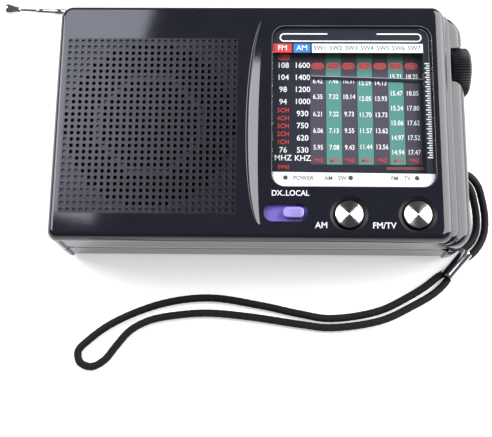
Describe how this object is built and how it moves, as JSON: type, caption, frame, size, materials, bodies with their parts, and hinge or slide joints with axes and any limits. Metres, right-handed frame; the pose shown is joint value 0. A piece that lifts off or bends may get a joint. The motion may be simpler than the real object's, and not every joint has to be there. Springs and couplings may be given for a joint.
{
  "type": "shortwave receiver",
  "caption": "Pocket shortwave receiver with round speaker grille, slide-rule dial, side tuning knob, two keys, slider, telescopic antenna and braided wrist strap.",
  "frame": {"origin": "middle of the underside (the back cover) of the receiver's own box, without the strap, where it lies face up on a table", "axes": "+X towards the tuning knob along the longest side, +Y towards the antenna edge, +Z out of the front face"},
  "size_m": [0.1602, 0.1179, 0.0315],
  "materials": {
    "black_gloss": "moulded black plastic, polished",
    "black_ribbed": "moulded black plastic with fine ribs",
    "dial_window": "clear window printed from behind",
    "dial_print": "printed dial card",
    "pointer_white": "off-white moulding",
    "drive_plastic": "natural nylon",
    "cord_thread": "fine twisted cord",
    "chrome": "bright plated",
    "steel": "plain plated steel",
    "slider_lavender": "lavender plastic",
    "lamp": "unlit lamp",
    "board": "printed circuit board",
    "component_black": "moulded black",
    "capacitor_blue": "sleeved capacitor",
    "capacitor_clear": "milky plastic box",
    "ferrite": "grey ferrite",
    "copper_wire": "enamelled copper wire",
    "paper_cone": "paper cone",
    "cell_wrap": "wrapped dry cell",
    "braid": "woven black cord"
  },
  "bodies": {
    "case": {"front_shell": "black_gloss", "back_shell": "black_gloss", "dial_lens": "dial_window", "dial_plate": "dial_print", "dial_cord": "cord_thread", "strap_ferrule": "chrome", "antenna_base": "chrome", "idler_bracket": "steel", "case_screw_1": "steel", "case_screw_2": "steel", "case_screw_3": "steel", "case_screw_4": "steel", "strap_pin": "steel", "speaker_basket": "steel", "sensitivity_switch": "steel", "band_switch": "steel", "tuned_coil_1": "steel", "tuned_coil_2": "steel", "battery_link": "steel", "battery_terminals": "steel", "power_led": "lamp", "am_led": "lamp", "fm_led": "lamp", "main_board": "board", "side_board": "board", "radio_chip": "component_black", "am_switch": "component_black", "fm_switch": "component_black", "volume_pot": "component_black", "earphone_jack": "component_black", "dc_jack": "component_black", "speaker_magnet": "component_black", "board_capacitor": "capacitor_blue", "tuning_capacitor": "capacitor_clear", "ferrite_rod": "ferrite", "ferrite_coil": "copper_wire", "speaker_cone": "paper_cone", "battery_1": "cell_wrap", "battery_2": "cell_wrap", "strap_tail_1": "braid", "strap_tail_2": "braid", "strap_loop": "braid"},
    "tuning": {"tuning_knob": "black_ribbed", "tuning_shaft": "steel", "tuning_drum": "drive_plastic"},
    "pointer": {"dial_pointer": "pointer_white"},
    "idler": {"cord_idler": "drive_plastic"},
    "am_key": {"am_button": "chrome"},
    "fm_key": {"fm_button": "chrome"},
    "slider": {"sensitivity_slider": "slider_lavender"},
    "volume": {"volume_wheel": "black_ribbed"},
    "band": {"band_knob": "black_gloss"},
    "door": {"battery_door": "black_gloss"},
    "swivel": {"antenna_fork": "chrome", "antenna_pin": "steel"},
    "mast": {"antenna_tube_1": "chrome"},
    "mast_2": {"antenna_tube_2": "chrome"},
    "mast_3": {"antenna_tube_3": "chrome"},
    "mast_4": {"antenna_tube_4": "chrome"},
    "mast_tip": {"antenna_tip": "chrome"}
  },
  "joints": [
    {"name": "tuning_turn", "type": "hinge", "parent": "case", "child": "tuning", "pos_m": [0.072, 0.0193, 0.016], "axis": [1, 0, 0], "range_deg": [-27, 148]},
    {"name": "pointer_travel", "type": "slide", "parent": "case", "child": "pointer", "axis": [0, 1, 0], "range_m": [-0.0257, 0.0048]},
    {"name": "idler_turn", "type": "hinge", "parent": "case", "child": "idler", "pos_m": [0.061, -0.022, 0.0239], "axis": [1, 0, 0], "range_deg": [-140, 745]},
    {"name": "am_press", "type": "slide", "parent": "case", "child": "am_key", "axis": [0, 0, -1], "range_m": [0, 0.0012], "stiffness_N_per_m": 400, "springref_m": -0.0005},
    {"name": "fm_press", "type": "slide", "parent": "case", "child": "fm_key", "axis": [0, 0, -1], "range_m": [0, 0.0012], "stiffness_N_per_m": 400, "springref_m": -0.0005},
    {"name": "sensitivity_slide", "type": "slide", "parent": "case", "child": "slider", "axis": [-1, 0, 0], "range_m": [0, 0.0045]},
    {"name": "volume_turn", "type": "hinge", "parent": "case", "child": "volume", "pos_m": [-0.0495, 0.018, 0.01], "axis": [0, 0, 1], "range_deg": [-30, 240]},
    {"name": "band_slide", "type": "slide", "parent": "case", "child": "band", "axis": [0, 1, 0], "range_m": [-0.009, 0.009]},
    {"name": "door_slide", "type": "slide", "parent": "case", "child": "door", "axis": [0, -1, 0], "range_m": [0, 0.006]},
    {"name": "antenna_swivel", "type": "hinge", "parent": "case", "child": "swivel", "pos_m": [0.054, 0.03855, 0.0075], "axis": [0, 1, 0], "continuous": true},
    {"name": "antenna_elbow", "type": "hinge", "parent": "swivel", "child": "mast", "pos_m": [0.054, 0.03855, 0.0075], "axis": [-0.1167, 0, -0.9932], "range_deg": [0, 90]},
    {"name": "mast_slide_2", "type": "slide", "parent": "mast", "child": "mast_2", "axis": [-0.9932, 0, 0.1167], "range_m": [-0.001, 0.085]},
    {"name": "mast_slide_3", "type": "slide", "parent": "mast_2", "child": "mast_3", "axis": [-0.9932, 0, 0.1167], "range_m": [-0.003, 0.085]},
    {"name": "mast_slide_4", "type": "slide", "parent": "mast_3", "child": "mast_4", "axis": [-0.9932, 0, 0.1167], "range_m": [-0.005, 0.085]},
    {"name": "tip_slide", "type": "slide", "parent": "mast_4", "child": "mast_tip", "axis": [-0.9932, 0, 0.1167], "range_m": [-0.0035, 0.085]}
  ],
  "couplings": [
    {"joint": "pointer_travel", "follows": "tuning_turn", "m_per_rad": -0.0099},
    {"joint": "idler_turn", "follows": "tuning_turn", "ratio": 4.95}
  ]
}
